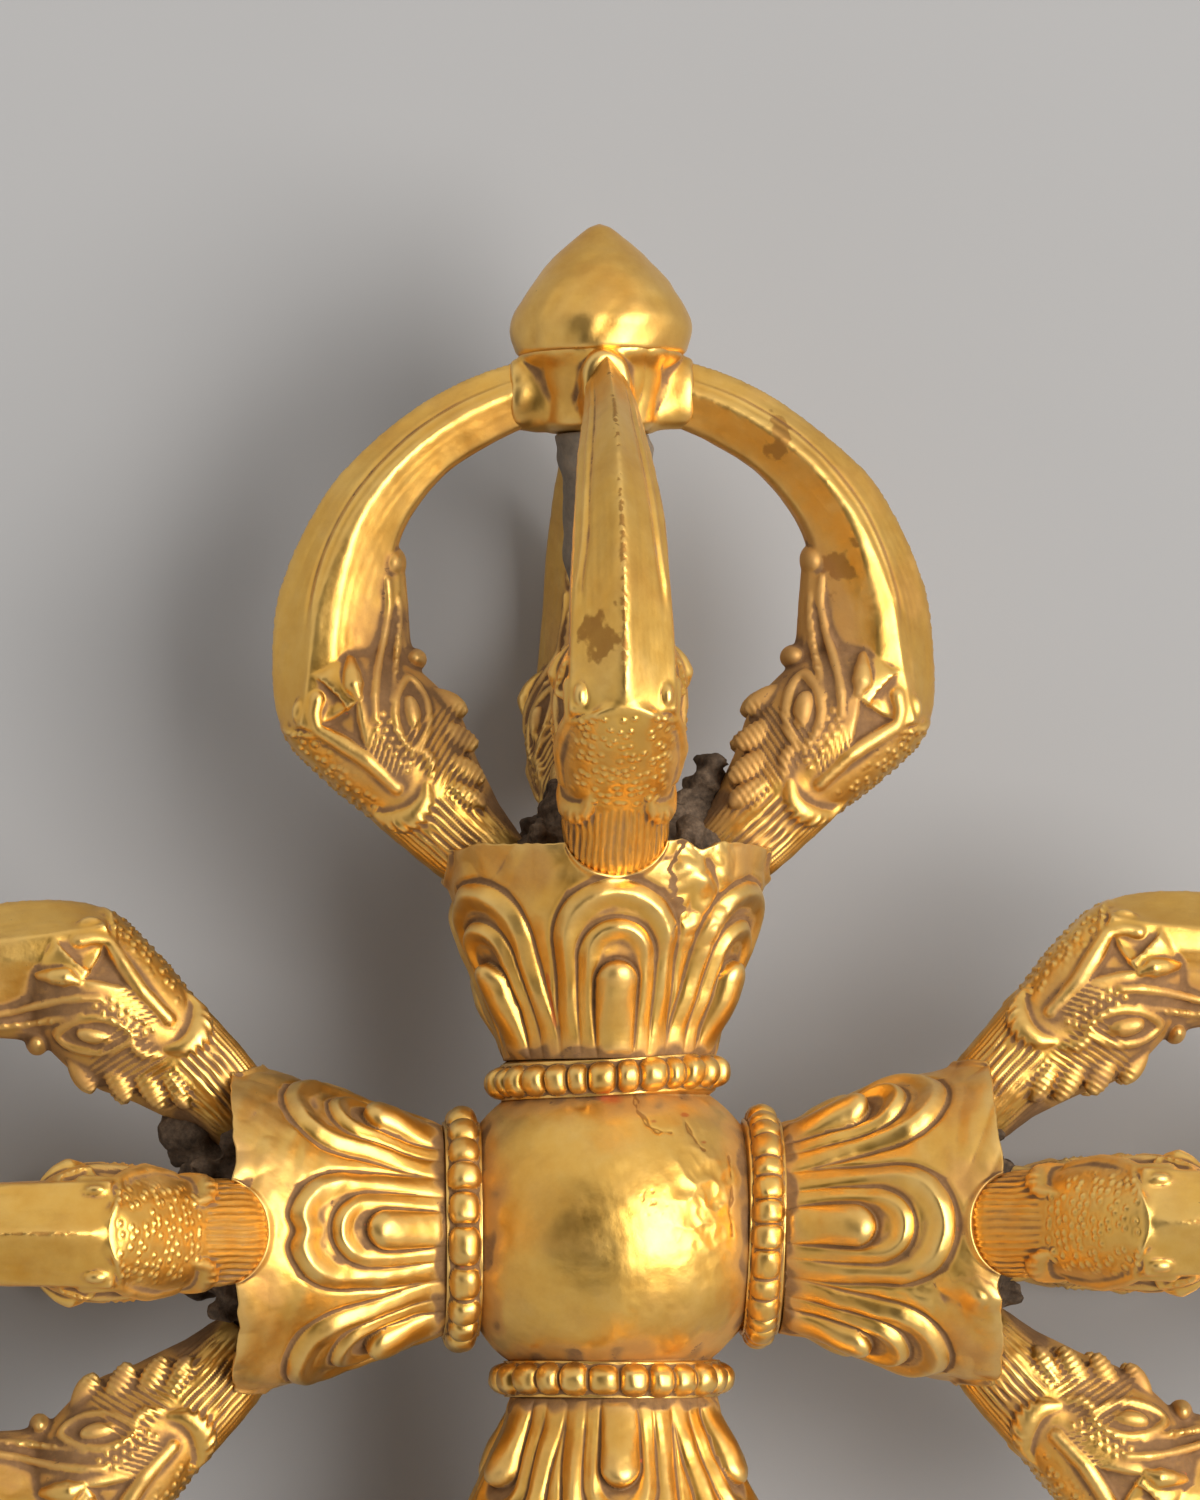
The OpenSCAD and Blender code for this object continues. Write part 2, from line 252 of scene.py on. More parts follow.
def neighbours(mesh):
    """Both ends of each edge, and how many edges meet in each point."""
    ends = np.empty(2 * len(mesh.edges), np.int64)
    mesh.edges.foreach_get("vertices", ends)
    a, b = ends[0::2], ends[1::2]
    count = np.bincount(a, minlength=len(mesh.vertices)) + np.bincount(b, minlength=len(mesh.vertices))
    return a, b, np.maximum(count, 1)


def soften(values, links, rounds):
    """Mean of each point's neighbours, taken again and again."""
    a, b, count = links
    size = len(values)
    for _ in range(rounds):
        total = np.stack([np.bincount(a, values[b, c], size) + np.bincount(b, values[a, c], size)
                          for c in range(values.shape[1])], axis=1)
        values = 0.5 * values + 0.5 * total / count[:, None]
    return values


def set_mark(mesh, key, values):
    mesh.attributes[key].data.foreach_set("value", values.astype(np.float32))


def wear_and_shade(mesh, fine=5, broad=36, depth=0.16, **given):
    """Marks each point's hollow and crest, from how far it lies below or above its softened surround; in the
    gilding the hollow mark also places painted shade.
    """
    points, normals, links = mesh_points(mesh) / MM, mesh_points(mesh, "normal"), neighbours(mesh)
    near = soften(points, links, fine)
    far = soften(near, links, broad)
    small = ((near - points) * normals).sum(axis=1)
    large = ((far - points) * normals).sum(axis=1)
    marks = {key: np.zeros(len(points)) for key in MARKS}
    marks["hollow"] = np.clip(large / depth + 0.8 * small / depth, 0, 1)
    marks["crest"] = np.clip(-large / depth, 0, 1)
    for key, value in given.items():
        marks[key][:len(value)] = value
    for key, value in marks.items():
        mesh.attributes.new(key, "FLOAT", "POINT")
        set_mark(mesh, key, value)
    return mesh


def set_out(name, data):
    """A new object in the scene."""
    made = bpy.data.objects.new(name, data)
    bpy.context.scene.collection.objects.link(made)
    return made


def place_piece(mesh, name, node, finish):
    piece = set_out(name, mesh)
    mesh.materials.clear()
    mesh.materials.append(finish)
    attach(piece, "root")
    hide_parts(node)
    return piece


gilt = gilding("worn_gilding")
shell_rows, shell_columns = 190, 440
# cracks in the upper shell, seen from above: (trail, depth, width)
HUB_CRACKS = (([(1.9, 13.4), (2.1, 11.5), (3.1, 10.1), (4.2, 9.5), (5.5, 9.4)], 0.22, 0.17),
              ([(6.8, 10.7), (7.5, 9.1), (8.5, 7.6)], 0.20, 0.16),
              ([(11.2, 7.0), (11.3, 4.4), (11.1, 1.6), (11.3, -0.9)], 0.2, 0.15))
# its dints: (x, y, reach, depth)
HUB_DINTS = ((0.7, -9.1, 0.9, 0.13), (2.9, -8.4, 0.5, 0.08), (4.7, -8.8, 0.8, 0.10), (6.5, -8.1, 0.6, 0.09),
             (8.2, -5.6, 0.9, 0.08), (5.6, -10.9, 0.7, 0.09), (-3.3, 12.2, 0.4, 0.16),
             (9.3, -9.4, 1.0, 0.10), (1.6, -6.3, 1.2, 0.06), (7.6, -10.4, 0.5, 0.1))
# its traces of red paint: (x, y, reach)
HUB_RED = ((-0.6, 12.7, 1.7), (3.7, 10.5, 0.5), (6.9, 11.1, 0.6), (8.7, 8.4, 0.45))
# its crumpled and its pitted part: place and reach each way
crumple_at, crumple_reach = (8.6, 3.0), (3.2, 5.5)
pits_at, pits_reach = (3.6, 2.4), (1.8, 1.6)
for half, side in (("upper", 1), ("lower", -1)):
    down = np.linspace(0, math.pi / 2, shell_rows)[1:, None]
    around = angles(shell_columns)[None, :]
    way = np.stack([np.sin(down) * np.cos(around), np.sin(down) * np.sin(around),
                    side * np.cos(down) + 0 * around], axis=-1)
    out = np.full(way.shape[:2], hub_r)
    for axis in (0, 1):
        along = np.maximum(np.abs(way[..., axis]), 1e-6)
        off = np.maximum(np.sqrt(1 - np.clip(along, 0, 1) ** 2), 1e-6)
        out = np.maximum(out, np.where(along > 0.6, np.minimum(spigot_r / off, spigot_end / along), 0))
    flat, out = way.reshape(-1, 3), out.reshape(-1)
    ball = flat * hub_r
    dent = beaten(ball, (0.10, 3 + side, 14), (0.03, 8 + side, 4.5), (0.006, 12 + side, 1.6))
    rust, red = np.zeros(len(flat)), np.zeros(len(flat))
    if half == "upper":
        spot = ball[:, :2]
        for line, depth, width in HUB_CRACKS:
            gap = np.full(len(flat), 99.0)
            for a, b in zip(np.array(line[:-1]), np.array(line[1:])):
                share = np.clip(((spot - a) @ (b - a)) / ((b - a) @ (b - a)), 0, 1)
                gap = np.minimum(gap, np.linalg.norm(spot - a - share[:, None] * (b - a), axis=1))
            gap = gap + 0.10 * waves(ball, 24, 1.6)
            dent = dent - 0.45 * depth * hump(gap, width)
            rust = np.maximum(rust, 1.1 * hump(gap, width))
        for x, y, reach, depth in HUB_DINTS:
            far = np.hypot(spot[:, 0] - x, spot[:, 1] - y) / reach + 0.35 * waves(ball, 26, 1.7)
            dent = dent - 0.6 * depth * np.exp(-np.maximum(far, 0) ** 2)
        for x, y, reach in HUB_RED:
            red = np.maximum(red, 0.9 * hump_at(spot, (x, y), (reach, 0.5 * reach)))
        folds = 0.14 - 0.14 * np.abs(waves(ball, 21, 3.6)) - 0.05 * np.abs(waves(ball, 22, 1.5))
        dent = dent + hump_at(spot, crumple_at, crumple_reach) * folds
        dent = dent - hump_at(spot, pits_at, pits_reach) * 0.07 * step(waves(ball, 25, 0.9), 0.7, 1.6)
    rows = (flat * (out + dent * (out < hub_r + 0.01))[:, None]).reshape(way.shape)
    rows[..., 2] += hub_height
    shell = sheet_mesh("hub_" + half, *skin(rows))
    # dust and old lacquer lie in a band beside each ring, and painted shade is laid there too through the
    # hollow mark
    band = step(np.abs(flat[:, :2]).max(axis=1) + 0.025 * waves(ball, 27, 5), 0.60, 0.78)
    wear_and_shade(shell, 5, 60, 0.3, stain=rust, red=red, dust=1.1 * band)
    lacquer_and_shade = 0.4 * band * step(band, 0.6, 1.0) * (1 + 0.5 * waves(ball, 28, 3.0))
    set_mark(shell, "hollow", np.clip(np.concatenate([lacquer_and_shade, [0, 0]]), 0, 1))
    place_piece(shell, "hub_" + half, f"hub_{half}_shell", gilt)


# Iron rods: two forged rods, half-lapped where they cross inside the hub. In each cage a rod
# swells to the shoulder that carries the collar. The iron is dull, scaled and lumpy.
def iron(name):
    """Forged iron under scale, a little brighter where the scale is thin."""
    black, dull, bare = (0.10, 0.08, 0.06, 1), (0.21, 0.17, 0.125, 1), (0.31, 0.24, 0.17, 1)
    finish, place = new_finish(name)
    patch, scale = cloud(place, 3.5, 5.0, 0.65), cloud(place, 0.7, 4.0, 0.7)
    tone = (0.6 * patch + 0.4 * scale).ramp((0.3, black), (0.52, dull), (0.72, bare))
    dress(finish, {"Base Color": tone, "Roughness": 0.55 + 0.3 * scale, "Metallic": 0.45 * patch,
                   "Normal": (0.5 * patch + 0.5 * scale).bump(0.6, 0.3)})
    return finish


def evenly(keys, count, closed=False):
    """Points at even steps along a line through key points, without the last one for a closed line."""
    keys = np.asarray(keys, float)
    walk = np.concatenate([[0], np.cumsum(np.hypot(*np.diff(keys, axis=0).T))])
    at = np.linspace(0, walk[-1], count, endpoint=not closed)
    return np.stack([np.interp(at, walk, keys[:, 0]), np.interp(at, walk, keys[:, 1])], axis=1)


def turned(profile, around):
    """Rows of a turned shape from (radius, height) pairs."""
    angle = angles(around)
    r, z = np.maximum(profile[:, 0:1], 1e-3), profile[:, 1:2]
    return np.stack([r * np.cos(angle), r * np.sin(angle), z + 0 * angle], axis=-1)


def spun(points, quarters):
    """Points turned about Z by quarter turns."""
    return points @ np.array(Matrix.Rotation(quarters * math.pi / 2, 3, "Z")).T


def on_head(points, head):
    """Lays a shape that is built about +Z along the head that points to +X, +Y, -X or -Y."""
    laid = np.stack([points[..., 2], points[..., 1], -points[..., 0]], axis=-1)
    return spun(laid, head) + np.array([0, 0, hub_height])


scaled_iron = iron("scaled_iron")
collar_z, finial_z = 79.22, 87.22
# half of a rod, from its end to its middle: (radius, place along the rod)
ROD = [(0.4, 91.6), (2.3, 91.3), (2.45, 87), (2.45, collar_z), (4.7, collar_z - 0.1), (4.55, 76), (3.7, 69),
       (3.05, 61), (2.95, 40), (2.95, 0)]
rod_rows, rod_columns = 560, 56
for head, name in ((0, "iron_rod_east_west"), (1, "iron_rod_north_south")):
    rows = turned(evenly(ROD + [(r, -z) for r, z in ROD[-2::-1]], rod_rows), rod_columns)
    flat = rows.reshape(-1, 3)
    rough = beaten(flat, (0.20, 31 + head, 7), (0.07, 33 + head, 3.0))
    inside = step(np.abs(flat[:, 2]), 30, 42) * (1 - step(np.abs(flat[:, 2]), 77.5, 79))
    flat[:, :2] *= (1 + inside * rough / 3.6)[:, None]
    flat[:, 0] -= 0.7 * inside * np.sin(flat[:, 2] / 17)
    rod = wear_and_shade(sheet_mesh(name, *skin(on_head(flat.reshape(rows.shape), head))))
    place_piece(rod, name + "_bar", name, scaled_iron)


# Pearl rings: a copper strip chased into round pearls, bent round the spigot and soldered where
# its ends meet. The pearls are uneven, and they are worn flat where they are handled.
HEADS = ("east", "north", "west", "south")
PEARLS = {"east": 28, "north": 28, "west": 20, "south": 24}
FULL = {"east": 0.5, "north": 1.0, "west": 1.0, "south": 0.9}  # how round the pearls still are
ASKEW = {"east": 0.3, "north": -0.5, "west": 0.12, "south": 0.12}  # how far the ring leans
ring_z, ring_w, ring_bore = 13.12, 3.6, 10.08
strip_r, strip_half, pearl_rise = 10.72, 1.78, 1.62
pearl_columns, pearl_rows, back_rows = 20, 40, 8


def hoop(rows):
    """Faces of a surface that closes on itself both along and across its rows."""
    n, m = rows.shape[:2]
    i, j = np.meshgrid(np.arange(n), np.arange(m), indexing="ij")
    right, below = (j + 1) % m, (i + 1) % n * m
    return np.stack([i * m + j, i * m + right, below + right, below + j], axis=-1).reshape(-1, 4).tolist()


for head, side in enumerate(HEADS):
    rng = np.random.default_rng(50 + head)
    pearls, full = PEARLS[side], FULL[side]
    around = pearls * pearl_columns
    angle = np.arange(around) / around * 2 * math.pi
    uneven = np.concatenate([[0], rng.uniform(-0.13, 0.13, pearls - 1), [0]])
    edges = (np.arange(pearls + 1) + uneven) / pearls * 2 * math.pi
    which = np.clip(np.searchsorted(edges, angle, side="right") - 1, 0, pearls - 1)
    across = 2 * (angle - edges[which]) / (edges[which + 1] - edges[which]) - 1
    plump = rng.uniform(0.9, 1.08, pearls)[which]
    swell = np.sqrt(np.maximum(1 - np.abs(across) ** 2.8, 0))
    shift = 0.07 * np.sin(3 * angle + 2 * head) + ASKEW[side] * np.sin(angle)
    z_out = np.linspace(-strip_half, strip_half, pearl_rows)
    z_in = np.linspace(strip_half, -strip_half, back_rows)
    pearl_half = 0.55 + (1.02 * swell * plump)[:, None]
    bulge = np.sqrt(np.maximum(1 - np.abs(z_out[None, :] / pearl_half) ** 2.2, 0)) * swell[:, None]
    bulge = full * bulge + (1 - full) * 0.8 * np.sqrt(np.maximum(1 - (z_out / 1.5) ** 2, 0))
    r = np.concatenate([strip_r + pearl_rise * plump[:, None] * bulge,
                        np.full((around, back_rows), ring_bore)], axis=1)
    z = ring_z + ring_w / 2 + np.concatenate([z_out, z_in])[None, :]
    z = z + shift[:, None] * np.concatenate([np.ones(pearl_rows), np.zeros(back_rows)])
    rows = np.stack([r * np.cos(angle)[:, None], r * np.sin(angle)[:, None], z], axis=-1)
    flat = rows.reshape(-1, 3)
    flat += 0.035 * waves(flat, 60 + head, 2.2)[:, None] * flat * np.array([0.09, 0.09, 0])
    ring = wear_and_shade(sheet_mesh(side + "_pearls", on_head(flat, head), hoop(rows)), 3, 30, 0.15)
    place_piece(ring, side + "_pearls", side + "_pearl_ring", gilt)


# Lotus cups: raised and chased copper sheet. Each of the six petals is three lobes, one on
# another, with rounded rims. The band above them is plain, and its torn edge is let in for the throats.
cup_z, cup_len, cup_rim_r, cup_bore = 16.72, 21.0, 16.4, 10.1
seat_z, seat_r = 18.0, 5.15
cup_rows, cup_columns, lining_rows = 116, 704, 14
# heights of the three lobes of a petal
PETALS = {"east": (16.4, 12.4, 8.7), "north": (17.5, 13.7, 9.6), "west": (15.9, 11.5, 8.0),
          "south": (16.6, 12.5, 8.8)}
# the torn part of each rim: place and reach in degrees, depth
TORN = {"east": (206, 7, 0.8), "north": (213, 15, 0.8), "west": (35, 18, 0.6), "south": (300, 20, 0.7)}
# how black the crack beside it is, and how deep the front petal's tip is notched
CRACKED = {"east": 0.3, "north": 0.9, "west": 0.3, "south": 0.3}
NOTCHED = {"east": 0.0, "north": 0.0, "west": 0.75, "south": 0.0}


def cup_wall(v):
    return np.interp(v, [0, 3, 8.3, 14, 18, 22], [10.4, 11.1, 12.85, 14.9, 15.9, 16.5])


def inside_lobe(x, v, half, top):
    """Distance inside a lobe that stands on the foot and has a round top, in millimetres."""
    return half - np.hypot(x, np.maximum(v - (top - half), 0))


def rimmed(inside, width, crest, hollow):
    """Height of a lobe with a round rim: up to its crest over a width, then down into a hollow."""
    share = np.clip(inside / width, 0, 1)
    up = 0.45 * np.sqrt(1 - (1 - share) ** 2) + 0.55 * share * share * (3 - 2 * share)
    return crest * up - (crest - hollow) * step(inside, 0.85 * width, 2.1 * width)


def get_mark(mesh, key):
    values = np.empty(len(mesh.vertices), np.float32)
    mesh.attributes[key].data.foreach_get("value", values)
    return values


for head, side in enumerate(HEADS):
    tops, (torn_at, torn_reach, torn_deep) = PETALS[side], TORN[side]
    angle = angles(cup_columns)[None, :]
    u = np.linspace(0, 1, cup_rows)[:, None]
    # rim: ragged, torn in one place, and let in for the four throats
    edge = cup_rim_r * np.stack([np.cos(angle[0]), np.sin(angle[0]), 0 * angle[0]], axis=1)
    ragged = beaten(edge, (0.16, 71 + head, 9), (0.06, 72 + head, 3.5), (0.03, 73 + head, 1.3))[None, :]
    near = hump(np.degrees(angle) - torn_at, torn_reach)
    ragged = ragged + near * torn_deep * 0.3 * waves(edge, 74 + head, 3.0)
    quarter = (angle + math.pi / 4) % (math.pi / 2) - math.pi / 4
    chord = cup_rim_r * np.sin(quarter)
    seat = seat_z + 0.85 * (seat_r - np.sqrt(np.maximum(seat_r ** 2 - chord ** 2, 0)))
    seat = seat + 6 * step(np.abs(chord), 5.0, 5.6)
    top = np.minimum(cup_len + ragged, seat)
    v = u * top
    # petals: three lobes on each, with a chased line round each lobe
    petal = (angle + math.pi / 6) % (math.pi / 3) - math.pi / 6
    wobble = 0.12 * np.sin(3 * angle + head) + 0.10 * np.sin(v / 2.3 + 4 * angle)
    x = petal * (14.5 - 1.9 * (1 - step(v, 1, 11))) + wobble
    notch = NOTCHED[side] * np.exp(-(x / 1.1) ** 2 - ((angle - math.pi) / 0.3) ** 2)
    outer = inside_lobe(x, v + notch, 6.4, tops[0])
    middle = inside_lobe(x, v, 3.95, tops[1])
    lobe = inside_lobe(x, v, 2.1, tops[2])
    rise = (rimmed(outer, 1.5, 1.0, 0.3) + rimmed(middle, 1.2, 0.95, 0.25)) * (0.45 + 0.55 * step(v, 3, 12))
    rise = rise + 2.0 * np.sqrt(np.clip(1 - (1 - np.clip(lobe / 2.0, 0, 1)) ** 2, 0, 1))
    rise = rise - 0.25 * hump(outer + 0.2, 0.3) - 0.2 * hump(middle + 0.12, 0.22)
    rise = rise - 0.22 * hump(lobe + 0.12, 0.22)
    rise = rise * (0.3 + 0.7 * step(v, 0.3, 6)) * step(v, -0.2, 0.9)
    lip = step(seat - v, 1.1, 0.2) * step(np.abs(chord), 5.9, 5.0)
    rise = rise * (1 - 0.8 * lip) + 0.5 * lip * step(seat - v, 0.0, 0.35)
    r = cup_wall(v) + rise
    outside = np.stack([r * np.cos(angle), r * np.sin(angle), cup_z + v], axis=-1)
    # dents, and the crumpled sheet below the tear
    flat = outside.reshape(-1, 3)
    dent = beaten(flat, (0.16, 70 + head, 9), (0.03, 75 + head, 2.8), (0.006, 78 + head, 1.2))
    dent += 0.14 * step(v, 15.5, 18.5).reshape(-1) * (np.abs(waves(flat, 77 + head, 6)) - 0.8)
    folds = 0.34 * np.abs(waves(flat, 80 + head, 6.5)) + 0.12 * np.abs(waves(flat, 85 + head, 2.6)) - 0.1
    crumple = (near * step(v, 9, 13.5)).reshape(-1) * folds
    flat[:, :2] *= (1 + (dent + crumple) / np.hypot(flat[:, 0], flat[:, 1]))[:, None]
    back = np.linspace(1, 0, lining_rows)[:, None] * top
    r_in = np.maximum(cup_wall(back) - 0.75, cup_bore)
    behind = np.stack([r_in * np.cos(angle), r_in * np.sin(angle), cup_z + back - 0.12 * (back > 1)], axis=-1)
    rows = np.concatenate([flat.reshape(outside.shape), behind])
    spots = rows.reshape(-1, 3)
    # a line of red on the north cup, and dust round the foot and under the rim
    high, place = spots[:, 2] - cup_z, np.tile(np.degrees(angle[0]), len(rows))
    red = (side == "north") * hump(place - 148.5, 1.6) * step(high, 2, 4) * (1 - step(high, 7.5, 9.5))
    dust = 0.6 * (1 - step(high, 0.3, 2.6)) + 0.35 * step(waves(spots, 88 + head, 8), 0.1, 1.3)
    dust = dust + 0.35 * step(high, 14, 18) * (1 - np.tile(near[0], len(rows)))
    cup = sheet_mesh(side + "_cup", on_head(spots, head), hoop(rows))
    wear_and_shade(cup, 4, 90, 0.3, red=red, dust=dust)
    # dirt and painted shade lie round the foot, and down the crack beside the torn part of the rim; the crack
    # is not cut in the sheet, only painted as a dark line
    dirt = get_mark(cup, "hollow")
    dirt = np.maximum(dirt, 0.6 * (1 - step(high + 0.5 * waves(spots, 89, 2.5), 0.2, 1.4)))
    crack = place - torn_at + 0.75 * torn_reach + 1.6 * waves(spots, 91, 4.0) + 0.7 * waves(spots, 92, 1.2)
    dirt = np.maximum(dirt, CRACKED[side] * (1 - step(np.abs(crack), 0.4, 1.9)) * step(high, 9, 15))
    set_mark(cup, "hollow", np.clip(dirt, 0, 1))
    place_piece(cup, side + "_cup", side + "_lotus_cup", gilt)


# Pitch beds: resin and brick dust, poured hot into each cup round the rod and the pegs. It has
# shrunk, cracked and gone dark brown, and stands up in lumps between the feet of the prongs.
def pitch(name):
    """Matt brown-black pitch, paler where dust clings to it."""
    black, brown, dusty = (0.035, 0.024, 0.016, 1), (0.105, 0.071, 0.046, 1), (0.22, 0.152, 0.098, 1)
    finish, place = new_finish(name)
    patch, grit = cloud(place, 2.4, 5.0, 0.68), cloud(place, 0.6, 3.0, 0.7)
    tone = (0.65 * patch + 0.35 * grit).ramp((0.3, black), (0.52, brown), (0.75, dusty))
    dress(finish, {"Base Color": tone, "Roughness": 0.6 + 0.3 * grit, "Specular IOR Level": 0.15,
                   "Normal": (0.6 * patch + 0.4 * grit).bump(0.7, 0.35)})
    return finish


def melt(shells, voxel):
    """One skin round overlapping shells, as quads."""
    points, faces, total = [], [], 0
    for shell_points, shell_faces in shells:
        points.append(shell_points)
        faces += [[v + total for v in f] for f in shell_faces]
        total += len(shell_points)
    mesh = raw_mesh("melt", np.concatenate(points), faces)
    lump = set_out("melt", mesh)
    remesh = lump.modifiers.new("melt", "REMESH")
    remesh.mode, remesh.voxel_size, remesh.use_smooth_shade = "VOXEL", voxel, True
    made = bpy.data.meshes.new_from_object(lump.evaluated_get(bpy.context.evaluated_depsgraph_get()))
    bpy.data.objects.remove(lump)
    bpy.data.meshes.remove(mesh)
    return made


def reshape(mesh, points):
    """Moves a mesh's points to places in millimetres."""
    mesh.vertices.foreach_set("co", (points * MM).reshape(-1))
    mesh.update()
    mesh.shade_smooth()


def egg(centre, radii, tilt=0.0):
    """Egg shape whose long axis lies in the XZ plane, tilted from X."""
    down = np.linspace(0.05, math.pi - 0.05, 16)[:, None]
    turn = angles(24)[None, :]
    a = radii[0] * np.cos(down) + 0 * turn
    b = radii[1] * np.sin(down) * np.cos(turn)
    c = radii[2] * np.sin(down) * np.sin(turn)
    rows = [a * math.cos(tilt) - b * math.sin(tilt), c, a * math.sin(tilt) + b * math.cos(tilt)]
    return skin(np.stack(rows, axis=-1) + np.asarray(centre))


black_pitch = pitch("black_pitch")
lumps_between = 9
SUNK = {"east": 2.6, "north": 0.0, "west": 1.0, "south": 1.8}  # how far each bed has sunk
# a crag of pitch has stayed against the inside of one throat on the north head, and a stub of one on the
# west head: how much of it stands, and its lumps (place outwards, height, radius)
CRAG = {"north": 1.0, "west": 0.6}
CRAG_LUMPS = ((8.6, 40.5, 2.4), (9.6, 42.6, 2.0), (10.4, 44.4, 1.5), (10.0, 45.8, 1.2), (11.2, 46.3, 0.9))
crag_foot, crag_turn = 40, 1.5 * math.pi
for head, side in enumerate(HEADS):
    rng = np.random.default_rng(90 + head)
    sunk = SUNK[side]
    bed_keys = [(0.3, 19.3), (9.9, 19.3), (10.2, 21), (12.9, 29), (14.6, 34.4), (13.4, 35.8),
                (9.4, 38.2 - sunk), (5.6, 41.2 - sunk), (0.3, 41.6 - sunk)]
    lumps = [skin(turned(evenly(bed_keys, 60), 80))]
    for quarter in range(4):
        for _ in range(lumps_between):
            turn = math.pi / 4 + quarter * math.pi / 2 + rng.uniform(-0.42, 0.42)
            far = rng.uniform(4.6, 11.4)
            high = 43.4 - sunk - 0.62 * far + rng.uniform(-0.8, 0.8)
            tall, stout = rng.uniform(1.6, 3.6), rng.uniform(0.9, 1.7)
            centre = (far * math.cos(turn), far * math.sin(turn), high + 0.45 * tall)
            lumps.append(egg(centre, (tall, stout, stout), rng.uniform(0.9, 2.2)))
    for far, high, stout in CRAG_LUMPS if side in CRAG else ():
        turn = crag_turn + rng.uniform(-0.12, 0.12)
        centre = (far * math.cos(turn), far * math.sin(turn), crag_foot + CRAG[side] * (high - crag_foot))
        lumps.append(egg(centre, (1.5 * stout, stout, 1.2 * stout), rng.uniform(0.6, 1.9)))
    bed = melt(lumps, 0.42)
    shape = soften(mesh_points(bed), neighbours(bed), 2)
    bed.update()
    rough = 0.25 * waves(shape, 94 + head, 3.0) - 0.16 * np.abs(waves(shape, 95 + head, 1.6))
    rough = step(shape[:, 2], 35.5, 37) * rough
    shape = shape + mesh_points(bed, "normal") * rough[:, None]
    reshape(bed, on_head(shape, head))
    place_piece(wear_and_shade(bed), side + "_pitch", side + "_pitch_bed", black_pitch)


# Prongs: each is one casting, chased and gilt. A ribbed throat stands in a notch of the cup's rim and
# swells into a sea-monster's head, and out of its mouth springs a ridged blade that curves up to the collar.
slope = math.radians(43)
along_way = np.array([math.cos(slope), math.sin(slope)])
out_way = np.array([math.sin(slope), -math.cos(slope)])
throat_foot = np.array([13.1, 38.22])
ridge_mid, ridge_a, ridge_b, ridge_in = 56.4, 35.2, 31.45, -2.0
collar_arm, blade_root = 8.7, 49.6
lip_at, lip_arch = 22.3, 4.2


def on_throat(s, n):
    """Radius and height of a point s along the throat and n outwards from its axis."""
    s, n = np.asarray(s, float), np.asarray(n, float)
    return throat_foot + s[..., None] * along_way + n[..., None] * out_way


def squared(x, bend):
    """Part of a circle bent towards a square."""
    return np.sign(x) * np.abs(x) ** bend


def monster_head():
    """Throat and head as one swollen sleeve along the throat's axis, closed behind the lip."""
    s = np.linspace(-3.6, 23.1, 146)
    keys = [-3.6, 1, 6, 9, 10.5, 13, 17, 20, lip_at, 23.1]
    out = np.interp(s, keys, [3.9, 4.7, 4.85, 4.9, 5.0, 5.25, 5.35, 5.25, 5.0, 4.6])
    inn = np.interp(s, keys, [3.6, 4.7, 6.6, 8.2, 8.7, 9.0, 9.1, 8.6, 7.2, 5.0])
    half = np.interp(s, keys, [4.0, 5.1, 5.3, 5.6, 6.0, 6.45, 6.7, 6.4, 5.9, 5.4])
    power = np.interp(s, keys, [2.2, 2.3, 2.4, 2.5, 2.6, 2.7, 2.7, 2.6, 2.5, 2.4])
    turn = angles(84)
    middle, reach = (out - inn)[:, None] / 2, (out + inn)[:, None] / 2
    bend = 2 / power[:, None]
    n = middle + reach * squared(np.cos(turn), bend)
    w = half[:, None] * squared(np.sin(turn), bend)
    n = n - np.interp(s, [10, 14, 20], [0, 0.6, 1.2])[:, None] * (w / 5.5) ** 2 * step(n, -2, 3)
    # past the arch of the lip the outer face drops away, but never folds back over the inner one
    past = np.maximum(s[:, None] - lip_at + lip_arch * (w / 5.35) ** 2, 0)
    sunk = n - step(n, -1.5, 2.5) * (0.45 * step(past, 0, 0.35) + 1.35 * past)
    n = np.maximum(sunk, np.minimum(n, 0.04 * (n + 1.5) - 1.5))
    w = w * (1 - 0.3 * step(middle - n, 0, 9))
    rz = on_throat(s[:, None] + 0 * n, n)
    return np.stack([rz[..., 0], w, rz[..., 1]], axis=-1)


def smooth(line, rounds):
    """Rounds off a line of points between its ends."""
    for _ in range(rounds):
        line[1:-1] = 0.5 * line[1:-1] + 0.25 * (line[:-2] + line[2:])
    return line


